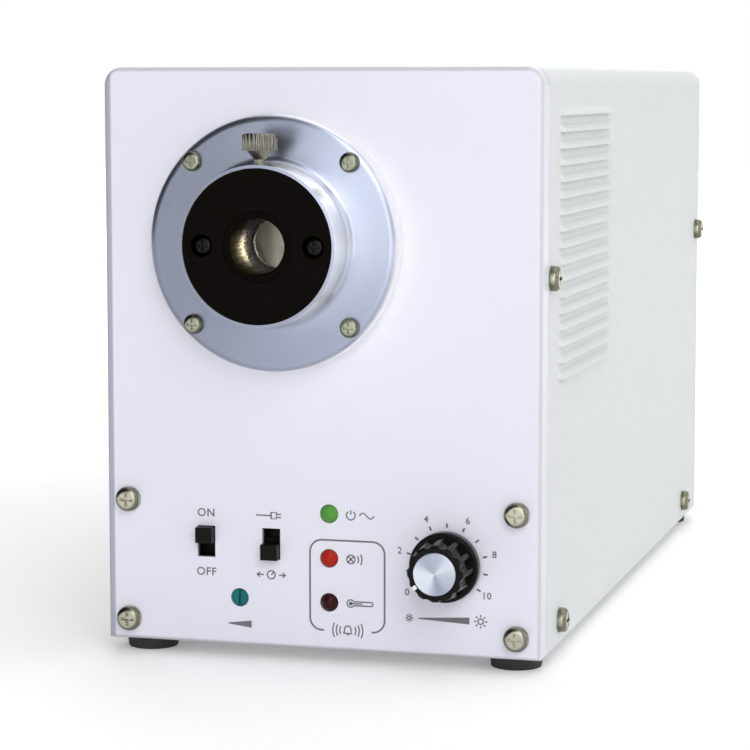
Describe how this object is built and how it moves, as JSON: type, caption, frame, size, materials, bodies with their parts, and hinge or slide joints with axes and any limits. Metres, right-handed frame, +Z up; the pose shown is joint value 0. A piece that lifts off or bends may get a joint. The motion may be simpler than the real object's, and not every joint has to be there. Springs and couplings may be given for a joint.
{
  "type": "fiber optic illuminator",
  "caption": "Bench light source for fibre light guides: folded steel case with a clamped guide outlet, dimmer knob, slide switches and lamps in front, and a fan and mains inlet behind.",
  "frame": {"origin": "centre of the object's bounding box, on the plane that its feet stand on", "axes": "+Z up; -Y the way the front panel and the light outlet face; +X to the right for someone facing the front panel"},
  "size_m": [0.1292, 0.3076, 0.164],
  "materials": {
    "cover_paint": "fine textured powder coat, off-white with a faint green-grey cast",
    "panel_paint": "smooth satin enamel, pale lavender-white",
    "chassis_steel": "zinc-plated sheet steel",
    "stainless_steel": "plated steel screws and pins, slightly warm",
    "black_steel": "blackened steel screws",
    "machined_aluminium": "clear anodised, turned",
    "raw_aluminium": "extruded",
    "black_anodised": "matt black anodised aluminium",
    "brass_plated": "nickel-plated brass",
    "black_rubber": "matt",
    "black_plastic": "fine satin",
    "grey_plastic": "satin",
    "nylon": "natural nylon",
    "blue_plastic": "teal trimmer housing",
    "white_inlay": "white filler",
    "spun_aluminium": "diamond-turned face",
    "lens_glass": "clear, coated",
    "led_phosphor": "yellow phosphor under silicone",
    "green_lamp": "tinted diffused epoxy",
    "red_lamp": "tinted diffused epoxy",
    "dark_red_lamp": "unlit, tinted diffused epoxy",
    "circuit_board": "solder mask on glass epoxy",
    "ferrite": "taped winding on a ferrite core",
    "capacitor_sleeve": "shrunk sleeve"
  },
  "bodies": {
    "housing": {"top_cover": "cover_paint", "front_panel": "panel_paint", "rear_panel": "cover_paint", "bottom_chassis": "chassis_steel", "case_screws": "stainless_steel", "small_screws": "stainless_steel", "clinch_nuts": "stainless_steel", "feet": "black_rubber", "outlet_flange": "machined_aluminium", "flange_screws": "stainless_steel", "outlet_insert": "black_anodised", "insert_screws": "black_steel", "guide_sleeve": "black_anodised", "lens_barrel": "machined_aluminium", "condenser_lens": "lens_glass", "lens_ring": "machined_aluminium", "led_board": "circuit_board", "led_emitter": "led_phosphor", "heat_sink": "raw_aluminium", "heat_sink_stand": "chassis_steel", "thermal_sensor": "black_plastic", "fan_frame": "black_plastic", "fan_guard": "stainless_steel", "fan_screws": "stainless_steel", "supply_board": "circuit_board", "supply_standoffs": "brass_plated", "supply_transformer": "ferrite", "supply_capacitors": "capacitor_sleeve", "control_board": "circuit_board", "control_standoffs": "brass_plated", "led_switch_body": "black_plastic", "mode_switch_body": "black_plastic", "trimmer_body": "blue_plastic", "power_lamp": "green_lamp", "led_alarm_lamp": "red_lamp", "temp_alarm_lamp": "dark_red_lamp", "lamp_spacers": "nylon", "potentiometer_body": "grey_plastic", "potentiometer_nut": "stainless_steel", "power_inlet_body": "black_plastic", "power_inlet_pins": "brass_plated", "power_switch_frame": "black_plastic", "remote_socket_shell": "stainless_steel", "remote_socket_insert": "black_plastic", "jack_screws": "stainless_steel"},
    "light_control": {"light_knob": "black_plastic", "knob_cap": "spun_aluminium", "knob_pointer": "white_inlay", "knob_set_screw": "stainless_steel", "potentiometer_shaft": "brass_plated"},
    "led_lever": {"led_switch_lever": "black_plastic"},
    "mode_lever": {"mode_switch_lever": "black_plastic"},
    "trimmer": {"trimmer_screw": "blue_plastic"},
    "guide_clamp_tip": {"clamp_tip": "nylon"},
    "guide_clamp_screw": {"thumb_screw": "brass_plated"},
    "fan_impeller": {"fan_rotor": "black_plastic"},
    "power_rocker": {"power_switch_key": "black_plastic"}
  },
  "joints": [
    {"name": "light_knob_turn", "type": "hinge", "parent": "housing", "child": "light_control", "pos_m": [0.0361, -0.1382, 0.0292], "axis": [0, 1, 0], "range_deg": [0, 251]},
    {"name": "led_switch_slide", "type": "slide", "parent": "housing", "child": "led_lever", "axis": [0, 0, 1], "range_m": [-0.004, 0]},
    {"name": "mode_switch_slide", "type": "slide", "parent": "housing", "child": "mode_lever", "axis": [0, 0, 1], "range_m": [0, 0.004]},
    {"name": "fine_trimmer_turn", "type": "hinge", "parent": "housing", "child": "trimmer", "pos_m": [-0.0231, -0.1302, 0.0174], "axis": [0, 1, 0], "range_deg": [-135, 135]},
    {"name": "clamp_tip_slide", "type": "slide", "parent": "housing", "child": "guide_clamp_tip", "axis": [0, 0, 1], "range_m": [-0.00051, 0.00101]},
    {"name": "clamp_screw_turn", "type": "hinge", "parent": "guide_clamp_tip", "child": "guide_clamp_screw", "pos_m": [-0.0113, -0.1491, 0.1313], "axis": [0, 0, 1], "range_deg": [-360, 720]},
    {"name": "fan_spin", "type": "hinge", "parent": "housing", "child": "fan_impeller", "pos_m": [0, 0.1358, 0.112], "axis": [0, 1, 0], "continuous": true},
    {"name": "power_switch_rock", "type": "hinge", "parent": "housing", "child": "power_rocker", "pos_m": [0.008, 0.1468, 0.04], "axis": [1, 0, 0], "range_deg": [0, 20]}
  ],
  "couplings": [
    {"joint": "clamp_tip_slide", "follows": "clamp_screw_turn", "m_per_rad": 0.000079577}
  ]
}
